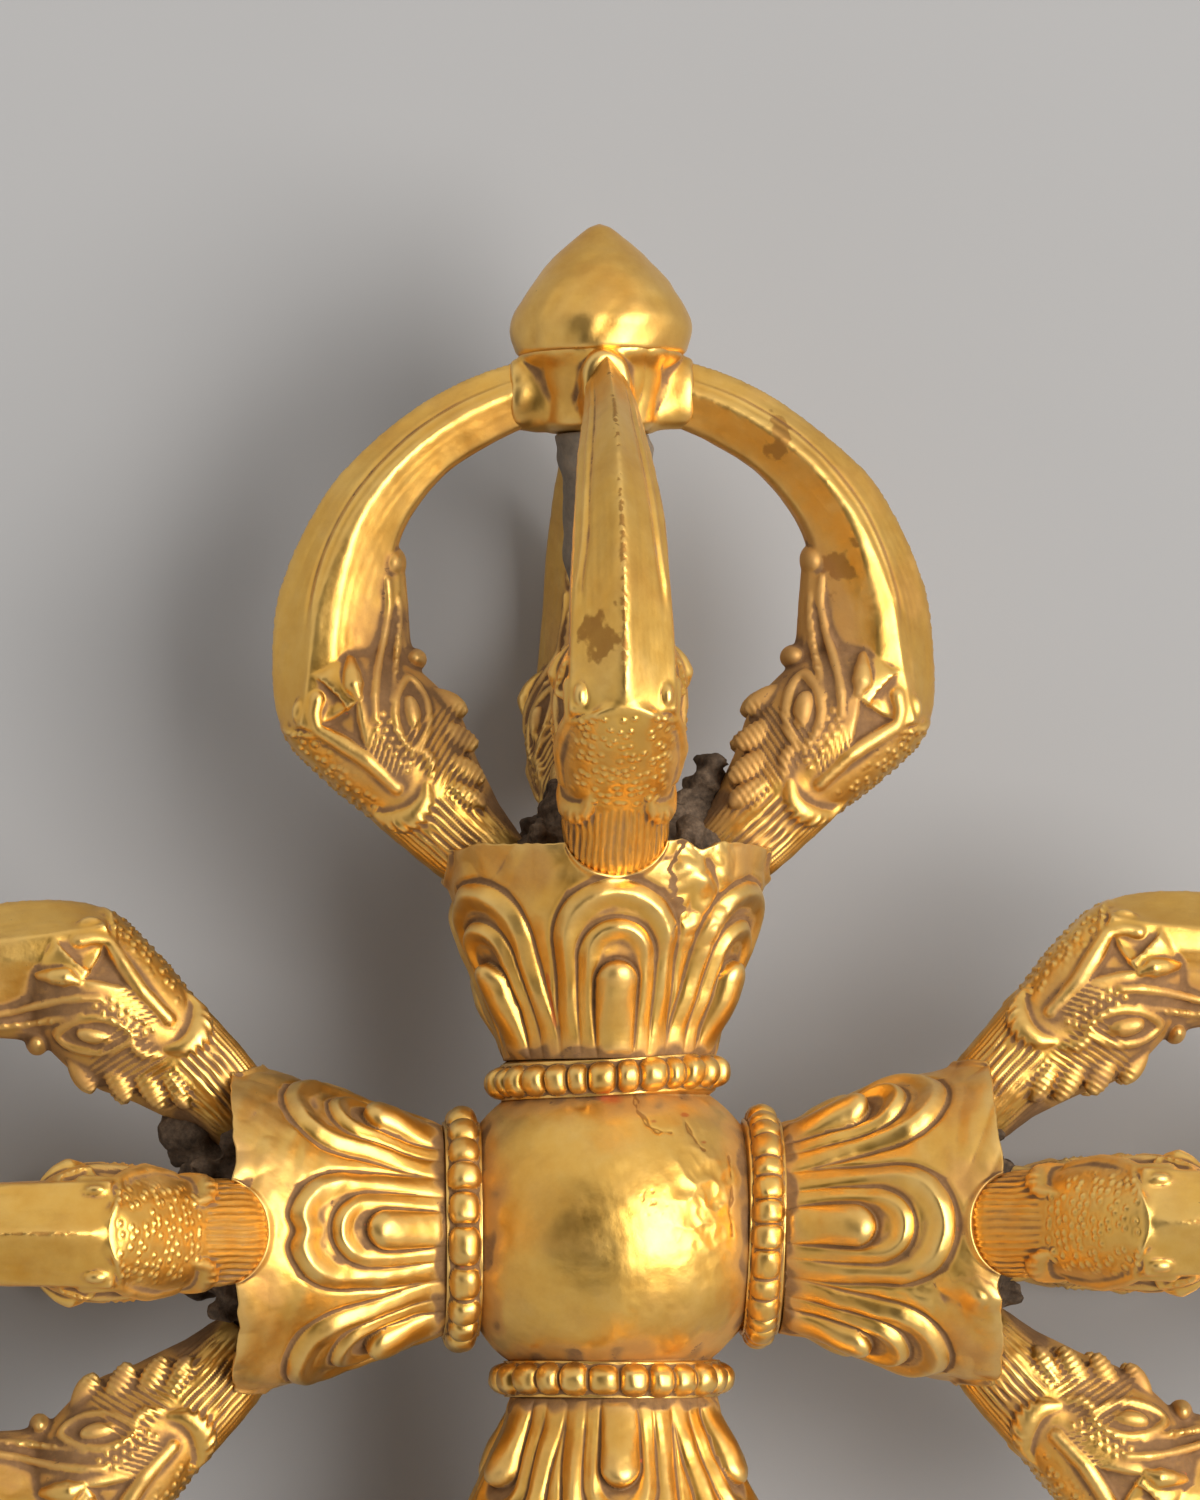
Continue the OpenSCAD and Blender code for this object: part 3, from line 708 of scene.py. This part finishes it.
def blade():
    """Ridged blade: outer ridge, two hollow outer faces, side edges and a narrower inner face."""
    buried, edge_deep = 0.13, 0.43
    t = np.linspace(-buried, 1.05, 176)[:, None]
    up, sunk = np.maximum(t, 0), np.minimum(t, 0) / buried
    root = math.degrees(math.asin((blade_root - ridge_mid) / ridge_b))
    tip = math.degrees(math.acos((collar_arm - ridge_in) / ridge_a))
    turn, lean = np.radians(root + (tip - root) * up), np.radians(root + (90 - root) * up)
    thick = smooth(np.interp(up, [0, 0.2, 0.3, 0.4, 0.5, 0.6, 0.8, 1.1],
                             [12.2, 12.4, 12.1, 11.2, 9.7, 8.4, 7.4, 6.8]), 60)
    half = (5.35 - 3.2 * up ** 1.6) * (1 + 0.06 * sunk)
    # half of the section, from the ridge to the inner face: (depth, width), as shares
    path = np.array([(0, 0.0), (0.03, 0.10), (0.21, 0.50), (0.39, 0.92), (edge_deep, 1.0), (0.49, 1.0),
                     (0.70, 0.80), (0.95, 0.56), (1.0, 0.30), (1.0, 0.0)])
    deep, wide = evenly(np.concatenate([path, path[-2:0:-1] * [1, -1]]), 96, closed=True).T
    at_root, midway = 1 - 0.64 * np.exp(-up / 0.13), np.interp(up, [0, 0.3, 0.6], [1.0, 0.84, 1.0])
    deep = np.where(deep <= edge_deep, deep * at_root * midway, deep + 0 * up)
    shift, tuck = 6.0 * sunk, 1.6 * sunk
    r = ridge_in + ridge_a * np.cos(turn) - deep * thick * np.cos(lean)
    z = ridge_mid + ridge_b * np.sin(turn) - deep * thick * np.sin(lean)
    r = r + shift * along_way[0] + tuck * out_way[0]
    z = z + shift * along_way[1] + tuck * out_way[1]
    return np.stack([r, half * wide + 0 * r, z], axis=-1)


def bead_chain(centres, radii, squash=(1, 1, 1)):
    """Round wire through points, swelling and thinning as its radii say, with round ends."""
    centres, radii = np.asarray(centres, float), np.asarray(radii, float)
    walk = np.concatenate([[0], np.cumsum(np.linalg.norm(np.diff(centres, axis=0), axis=1))])
    at = np.linspace(0, walk[-1], max(8, int(walk[-1] / 0.22)))
    path = smooth(np.stack([np.interp(at, walk, centres[:, c]) for c in range(3)], axis=1), 4)
    radius = np.interp(at, walk, radii)
    way = np.gradient(path, axis=0)
    way /= np.linalg.norm(way, axis=1)[:, None]
    side_way = np.cross(way, [0, 1.0, 0.02])
    side_way /= np.linalg.norm(side_way, axis=1)[:, None]
    up_way = np.cross(side_way, way)
    turn = angles(14)[None, :, None]
    ring = (side_way[:, None] * np.cos(turn) + up_way[:, None] * np.sin(turn)) * np.array(squash)
    cap = np.array([0.25, 0.6, 0.87])
    rows = path[:, None] + radius[:, None, None] * ring
    start = [path[0] - way[0] * radius[0] * math.sqrt(1 - c * c) + radius[0] * c * ring[0] for c in cap]
    end = [path[-1] + way[-1] * radius[-1] * math.sqrt(1 - c * c) + radius[-1] * c * ring[-1]
           for c in cap[::-1]]
    return skin(np.concatenate([np.array(start), rows, np.array(end)]))


# upper jaw: it runs up the inside of the blade and ends in a curled knob
jaw_line = on_throat(*np.array([(14.5, -7.0), (17.6, -7.8), (19.8, -9.2), (22.4, -11.9), (25.0, -14.5)]).T)
jaw_line = np.stack([jaw_line[:, 0], np.zeros(len(jaw_line)), jaw_line[:, 1]], axis=1)
jaw = bead_chain(jaw_line, [1.7, 2.0, 2.0, 1.9, 1.6], (1, 1.4, 1))
body = [skin(monster_head()), skin(blade()), jaw]
core = melt(body, 0.35)
flank = BVHTree.FromPolygons(mesh_points(core).tolist(), [tuple(p.vertices) for p in core.polygons])


def on_flank(s, n, sink=0.0):
    """Point on the prong's flank at a place in its plane, sunk a little into the metal."""
    r, z = on_throat(s, n)
    hit = flank.ray_cast(Vector((r, 14, z)), Vector((0, -1, 0)))[0]
    return np.array([r, (hit.y if hit else 2.0) - sink, z])


def on_outer_face(s, w):
    """Point on the prong's outer face at a place along and across it."""
    r, z = on_throat(s, 9.0)
    hit = flank.ray_cast(Vector((r, w, z)), Vector((-out_way[0], 0, -out_way[1])))[0]
    return np.array(hit) if hit else np.array([r, w, z])


def both(shell):
    """A shell and its mirror image on the other flank."""
    points, faces = shell
    return [shell, (points * [1, -1, 1], faces)]


def trail(places, radii, sink, squash=(1, 1, 1)):
    """The same wire on both flanks of a prong."""
    return both(bead_chain([on_flank(s, n, sink) for s, n in places], radii, squash))


# lip with its hook and its roll along the cheek, and the arch that it makes over the outer face
ornaments = trail([(21.3, 0.2), (20.5, 1.5), (19.2, 2.4), (17, 1.95), (13.7, 1.3), (9.6, 1.3)],
                  [0.85, 0.8, 0.78, 0.8, 0.9, 0.75], 0.25)
arch = np.array([on_outer_face(22.15 - lip_arch * abs(w) ** 2, 5.5 * w) for w in np.linspace(-1, 1, 25)])
ornaments.append(bead_chain(arch, [0.36] * len(arch)))
behind_arch = arch - 0.95 * np.array([along_way[0], 0, along_way[1]])
ornaments.append(bead_chain(behind_arch, [0.26] * len(arch)))
# a drop on the blade at each end of the arch
ornaments += both(egg(on_outer_face(21.9, 4.2), (1.15, 0.62, 0.6), math.radians(98)))
# crescent behind the cheek, and the roll from its end towards the eye
ornaments += trail([(7.6, -0.9), (6.6, 0.3), (6.3, 1.8), (7.0, 3.2), (8.3, 4.1), (10.4, 4.5)],
                   [0.4, 0.95, 1.3, 1.35, 1.0, 0.3], 0.1, (1, 0.75, 1))
ornaments += trail([(7.8, -1.8), (8.7, -2.8), (9.8, -3.1), (10.8, -2.8), (11.8, -2.7)],
                   [0.45, 0.75, 0.7, 0.55, 0.3], 0.2)
# eye and lids
eye_s, eye_n, lid_tilt = 13.4, -5.0, math.radians(43)
ornaments += both(egg(on_flank(eye_s, eye_n, 0.15), (2.0, 0.95, 0.95), math.radians(82)))
lid = []
for a in np.linspace(0, 2 * math.pi, 25):
    long_, short = 3.1 * math.cos(a) * (1 + 0.2 * abs(math.cos(a)) ** 6), 1.7 * math.sin(a)
    lid.append((eye_s + long_ * math.cos(lid_tilt) + short * math.sin(lid_tilt),
                eye_n - long_ * math.sin(lid_tilt) + short * math.cos(lid_tilt)))
ornaments += trail(lid, [0.5] * len(lid), 0.1)
# plump leaf curls behind the eye, down to the cup: (place along and outwards, length, breadth, tilt)
for s, n, long_, short, tilt in ((11.7, -8.3, 2.4, 1.25, 26), (8.9, -6.3, 2.8, 1.35, 24),
                                 (6.3, -4.4, 2.9, 1.35, 28), (4.2, -2.7, 2.6, 1.15, 26)):
    ornaments += both(egg(on_flank(s, n) - [0, 0.3, 0], (long_, short, 0.95), math.radians(tilt)))
# folds of the jaw, tusk, knob and nose
ornaments += trail([(15.8, -2.2), (17.3, -3.8), (18.9, -6.0), (20.5, -8.8), (22.3, -11.6), (24.2, -13.4)],
                   [0.35, 0.45, 0.45, 0.45, 0.42, 0.35], 0.0)
ornaments += trail([(15.8, -4.6), (17.1, -6.4), (18.7, -8.8), (20.5, -11.2), (22.2, -13.0)],
                   [0.3, 0.36, 0.36, 0.36, 0.3], 0.05)
ornaments += trail([(21.6, -5.0), (20.5, -4.0), (19.5, -3.1), (18.6, -2.7)], [0.4, 0.9, 1.05, 0.5], -0.05)
knob, nose = on_throat(24.9, -15.1), on_throat(16.9, -9.6)
ornaments.append(egg((knob[0], 0, knob[1]), (1.7, 1.3, 2.7), math.radians(100)))
ornaments.append(egg((nose[0], 0, nose[1]), (1.2, 1.1, 3.0)))

prong = melt(body + ornaments, 0.2)
points = soften(mesh_points(prong), neighbours(prong), 3)
# the outer corner at the lip is rubbed round
corner_way = np.array([0.92, 0, -0.4])
corner = points @ corner_way
corner = np.maximum(corner - corner.max() + 1.0, 0)
points = points - (corner ** 2 / (corner + 0.6))[:, None] * corner_way
prong.vertices.foreach_set("co", points.reshape(-1))
prong.update()
normals = mesh_points(prong, "normal")
# each point's place: along and out from the throat, how near the ridge, and how far up the blade
r, w, z = points.T
s = (r - throat_foot[0]) * along_way[0] + (z - throat_foot[1]) * along_way[1]
n = (r - throat_foot[0]) * out_way[0] + (z - throat_foot[1]) * out_way[1]
level = np.hypot((r - ridge_in) / ridge_a, (z - ridge_mid) / ridge_b)
swing = np.degrees(np.arctan2((z - ridge_mid) / ridge_b, (r - ridge_in) / ridge_a))
outer_face = step(n, 2.6, 4.2)
side_face = step(np.abs(w), 2.0, 3.0)

# ribs along the throat, finer on its outer face
throat = step(s, -2.4, -1.6) * (1 - step(s, 5.2, 6.2))
throat = throat * (1 - 0.6 * step(-n, 0.2, 1.2)) * (1 - step(-n, 3.6, 4.8))
rib_end = 0.3 * np.abs(w)
throat = np.maximum(throat, outer_face * step(s, -2.4, -1.6) * (1 - step(s, 8.6 - rib_end, 9.4 - rib_end)))
lines = np.arctan2(w, n + 0.8) + 0.012 * waves(points, 46, 5.0)
side_ribs = (0.7 + 0.3 * waves(points, 47, 3.0)) * 0.17 * (1 - outer_face) * np.cos(40 * lines)
front_ribs = (0.5 + 0.5 * np.cos(48 * lines)) ** 2 - 0.4
front_ribs = (0.85 + 0.15 * waves(points, 47, 6.0)) * 0.2 * outer_face * front_ribs
lift = throat * (side_ribs + front_ribs)


def dotted(places, height, ring, across):
    """Round dots raised on the flank or snout, each with a punched ring."""
    near = np.full(len(points), 9.0)
    chosen = np.flatnonzero((s > 8) & (s < 25))
    for a, b in places:
        near[chosen] = np.minimum(near[chosen], np.hypot(s[chosen] - a, across[chosen] - b))
    return height * hump(near, 0.22) - ring * hump(near - 0.42, 0.13)


# ring-punched dots in loose rows over the snout, and a band of them along the cheek and the jaw
rng = np.random.default_rng(7)
snout = []
for row, at in enumerate(np.arange(9.9, 21.2, 1.0)):
    for x in np.arange(-5.5, 5.6, 1.02):
        if rng.random() > 0.22:
            bow = 0.9 * (x / 5.5) ** 2 * (1 if at < 15 else -1.6)
            snout.append((at + bow + rng.normal(0, 0.2), x + 0.5 * (row % 2) + rng.normal(0, 0.2)))
lift += dotted(snout, 0.2, 0.05, w) * outer_face
cheek = [(9.9 + 1.0 * i + 0.3 * j, -0.5 - 0.2 * i - 0.8 * j + rng.normal(0, 0.08))
         for i in range(6) for j in range(3)]
cheek += [(17.4 + 0.75 * i, -7.2 - 0.9 * i) for i in range(7)]
lift += dotted(cheek, 0.24, 0.0, n) * side_face

# hatched skin inside the lip, three-sided hollow of the mouth, hatched leaves
hatch = 0.62
skin_fold = side_face * step(s, 9.8, 10.8) * (1 - step(s, 14.8, 15.8)) * step(n, -1.6, -0.8)
skin_fold = skin_fold * (1 - step(n, 0.3, 0.9))
fold_lines = np.sin(2 * math.pi * (s + 0.5 * n) / hatch)
lift += skin_fold * 0.075 * (0.7 + 0.3 * waves(points, 49, 3.0)) * fold_lines
mouth = np.full(len(points), 9.0)
mouth_corners = np.array([(19.3, 1.7), (18.2, -2.2), (14.4, 0.7)])
for a, b in zip(mouth_corners, np.roll(mouth_corners, -1, axis=0)):
    edge_way = (b - a) / np.linalg.norm(b - a)
    mouth = np.minimum(mouth, edge_way[1] * (s - a[0]) - edge_way[0] * (n - a[1]))
mouth = step(mouth, -0.15, 0.5) * side_face
leaf = side_face * step(-n, 1.2, 2.0) * step(s, 2.2, 3.0) * (1 - step(s - 0.5 * n, 15.0, 15.8))
leaf = leaf * (1 - step(s, 12.2, 13.0))
lift += leaf * 0.06 * np.sin(2 * math.pi * (0.85 * r + 0.52 * z) / hatch)

# the blade's bead line inside each edge, its pitted ridge and the slight dents of long use
mean_ridge_r = 34
on_blade = step(swing, -8, -3) * step(level, 0.70, 0.78)
blade_depth = np.interp(swing, [-12, 20, 50, 73], [11.6, 9.4, 7.2, 6.6])
edge_gap = (1 - level) * mean_ridge_r - 0.40 * blade_depth + 0.55
edge_line = on_blade * step(np.abs(w), 1.2, 2.0) * step(swing, 5, 14)
lift += edge_line * (0.14 * hump(edge_gap, 0.18) - 0.10 * hump(edge_gap + 0.42, 0.2))
ridge = on_blade * hump(w, 0.36) * step(level, 0.955, 0.985)
pits = step(waves(points, 41, 0.9) + 0.9 * waves(points, 42, 6.0), -0.1, 0.8)
lift -= ridge * 0.05 * pits
lift += beaten(points, (0.025, 43, 8), (0.010, 44, 2.0))
lift += on_blade * 0.006 * waves(np.stack([w, mean_ridge_r * level, 0.04 * swing], axis=1), 45, 0.9)
points = points + normals * lift[:, None]
points[:, 1] -= np.sign(points[:, 1]) * 0.7 * mouth
reshape(prong, points)

# the carving is less rubbed than the blade, and dull brown on its inner side and against the pitch; there the
# hollow mark also lays painted shade
rubbed, grimy = ridge * pits, 0.3 * mouth
off_blade = 1 - step(level, 0.72, 0.84) * step(s, 17, 19) * (1 - outer_face * (1 - step(s, 21, 22)))
dull = 0.8 * step(-n, 2.5, 6.0) * (1 - step(s, 20, 26)) * off_blade
dull = dull + 0.4 * throat * (1 - 0.7 * outer_face) + 0.3 * skin_fold
dull = np.maximum(dull, 0.55 * off_blade * step(s, 6, 8) * (1 - step(s, 24, 28)) * (1 - outer_face))
against_pitch = step(-n, 2.6, 4.2) * (1 - step(s, 1.5, 4))
dust = np.clip(0.55 * dull + against_pitch, 0, 1) + 0.25 * step(waves(points, 51, 7), 0.2, 1.4)
wear_and_shade(prong, 4, 30, 0.2, stain=grimy, dust=dust)
hollow, crest = get_mark(prong, "hollow"), get_mark(prong, "crest")
hollow = hollow * (1 - 0.15 * outer_face * throat)
hollow = np.clip(hollow + dull * (0.45 + 0.2 * waves(points, 48, 5.0)) * (1 - 0.7 * crest), 0, 1)
hollow = np.maximum(hollow, against_pitch * (0.85 + 0.15 * waves(points, 50, 3.0)))
set_mark(prong, "hollow", np.clip(hollow, 0, 1))

PRONGS = ("lower", "left", "upper", "right")
# brown patches on the north head: (height, place across or outwards, reach)
PATCHES = {"north_upper": [(57.3, -2.2, 2.4)], "north_right": [(65.5, 23.6, 2.0), (78.6, 17.6, 1.9)]}
# prongs that have lost their shine: how dull all over, and how much more so on the carving's inner side
DULLED = {"north_right": (0.12, 0.6), "north_left": (0.0, 0.12)}
for head, side in enumerate(HEADS):
    for quarter, place in enumerate(PRONGS):
        shape = points + 0.08 * waves(points, 200 + 4 * head + quarter, 16)[:, None] * normals
        stain = np.maximum(grimy, rubbed * (1.0 if place in ("upper", "lower") else 0.35))
        for high, aside, reach in PATCHES.get(f"{side}_{place}", []):
            across = points[:, 1] if place == "upper" else points[:, 0]
            shown = (points[:, 0] > 24) if place == "upper" else (points[:, 1] < 0)
            far = np.hypot((points[:, 2] - high) / 1.6, across - aside) / reach
            far = far + 0.12 * waves(points, 53, 2.4) + 0.07 * waves(points, 54, 0.9)
            stain = np.maximum(stain, shown * 1.05 * (1 - step(far, 0.45, 1.0)))
        shape = on_head(spun(shape, quarter), head)
        if place == "lower":
            shape[:, 2] = np.maximum(shape[:, 2], 0)
        all_over, carved = DULLED.get(f"{side}_{place}", (0.0, 0.0))
        cast = prong.copy()
        reshape(cast, shape)
        set_mark(cast, "stain", stain)
        set_mark(cast, "dust", dust + all_over + carved * off_blade * step(-n, 0.5, 3.5))
        place_piece(cast, f"{side}_{place}_makara", f"{side}_{place}_prong", gilt)


# Tip collars: a cast four-armed socket that drops over the rod's end and over the lugs of the
# prongs. Its inner corners are filleted, and solder fills the laps at the ends of its arms.
out = np.linspace(0, collar_arm + 0.4, 24)
turn = angles(40)
half_w = 3.3 - 0.85 * step(out, 3.0, 7.5) - 0.2 * step(out, 8.3, 9.1)
half_h = 3.75 - 0.15 * step(out, 4.0, 7.5) - 0.2 * step(out, 8.3, 9.1)
bend = (0.55 + 0.35 * step(out, 4.0, 8.0))[:, None]
y = half_w[:, None] * squared(np.cos(turn), bend)
h = collar_z + 4.0 + half_h[:, None] * squared(np.sin(turn), bend)
arm = np.stack([out[:, None] + 0 * y, y, h], axis=-1)
boss = turned(np.array([(0.2, collar_z), (4.9, collar_z), (5.9, collar_z + 0.6), (6.0, collar_z + 3.4),
                        (6.9, collar_z + 6.2), (8.0, collar_z + 7.4), (8.3, collar_z + 8.25),
                        (0.2, collar_z + 8.25)]), 64)
collar = melt([skin(spun(arm, quarter)) for quarter in range(4)] + [skin(boss)], 0.25)
collar_points = soften(mesh_points(collar), neighbours(collar), 8)
for head, side in enumerate(HEADS):
    made = collar.copy()
    lift = 0.10 * np.abs(waves(collar_points, 300 + head, 5.0)) - 0.06
    reshape(made, on_head(collar_points + mesh_points(collar, "normal") * lift[:, None], head))
    place_piece(wear_and_shade(made, 4, 30, 0.25), side + "_collar", side + "_tip_collar", gilt)


# Finials: a blunt copper cone, raised and filed by hand, with a short straight skirt. It is
# bored from below for the end of the rod, and soldered down on the collar.
FINIAL = [(0.2, -0.2), (8.25, -0.2), (8.5, 0.1), (8.8, 1.3), (9.0, 2.5), (8.9, 3.3), (8.45, 4.4), (7.7, 5.8),
          (6.8, 7.2), (5.7, 8.55), (4.5, 9.8), (3.15, 11.0), (2.0, 11.95), (1.1, 12.65), (0.1, 13.0)]
for head, side in enumerate(HEADS):
    rows = turned(smooth(evenly(FINIAL, 150) + [0, finial_z], 4), 150)
    flat = rows.reshape(-1, 3)
    dent = beaten(flat, (0.10, 320 + head, 9), (0.04, 330 + head, 3))
    flat[:, :2] *= (1 + dent / 9)[:, None]
    point = wear_and_shade(sheet_mesh(side + "_point", *skin(on_head(flat.reshape(rows.shape), head))), 4, 40, 0.3)
    place_piece(point, side + "_point", side + "_finial", gilt)


# Table, lamp and camera: grey paper under the object, one wide soft lamp to the right and a
# little above, a pale room that is darker overhead, and the camera over the hub, a little to the left.
paper, place = new_finish("grey_paper")
tone = cloud(place, 60).ramp((0.0, (0.335, 0.333, 0.335, 1)), (1.0, (0.352, 0.350, 0.353, 1)))
dress(paper, {"Base Color": tone, "Roughness": 0.9})
ground = bpy.data.meshes.new("table")
ground.from_pydata([(-4, -4, 0), (4, -4, 0), (4, 4, 0), (-4, 4, 0)], [], [(0, 1, 2, 3)])
ground.materials.append(paper)
table = set_out("table", ground)

world = bpy.data.worlds.new("room")
bpy.context.scene.world = world
world.use_nodes = True
dark_way, bright_way = (-0.21, -0.06, 0.976), (0.1, 0.995, 0.0)
black, room_white = (0, 0, 0, 1), (1.0, 0.985, 0.965, 1)
way = Flow(world.node_tree).node("ShaderNodeTexCoord", {}, {}, "Generated")
overhead, sideways = [
    way.node("ShaderNodeVectorMath", {"operation": "DOT_PRODUCT"}, {0: way, 1: other}, "Value")
    for other in (dark_way, bright_way)]
glow = (0.67 + 0.13 * sideways) * (1.0 - 0.97 * overhead.rise(0.79, 0.945))
sky = way.node("ShaderNodeMix", {"data_type": "RGBA"}, {0: glow, 6: black, 7: room_white}, 2)
world.node_tree.links.new(sky.socket, world.node_tree.nodes["Background"].inputs[0])

hub_at, lamp_at = Vector((0, 0, hub_height * MM)), Vector((1.32, 0.04, 2.09))
lamp = bpy.data.lights.new("soft_right", "AREA")
lamp.shape, lamp.size, lamp.size_y, lamp.energy = "RECTANGLE", 1.84, 1.68, 74.0
lamp.color = (1.0, 0.975, 0.94)
stand = set_out("soft_right", lamp)
stand.location = lamp_at
stand.rotation_euler = (hub_at - lamp_at).to_track_quat("-Z", "Y").to_euler()

view = bpy.data.cameras.new("camera")
view.sensor_width, view.lens, view.clip_end = 36.0, 241.5, 20.0
camera = set_out("camera", view)
camera_at = Vector((-62, 0, hub_height + 1000)) * MM
target = Vector((-0.5, 47.6, hub_height)) * MM
look = (target - camera_at).normalized()
up = Matrix.Rotation(math.radians(-0.6), 3, "Z") @ Vector((0, 1, 0))
right = look.cross(up).normalized()
facing = Matrix((right, right.cross(look), -look)).transposed().to_4x4()
camera.matrix_world = Matrix.Translation(camera_at) @ facing
bpy.context.scene.camera = camera
bpy.context.scene.view_settings.view_transform = "Standard"
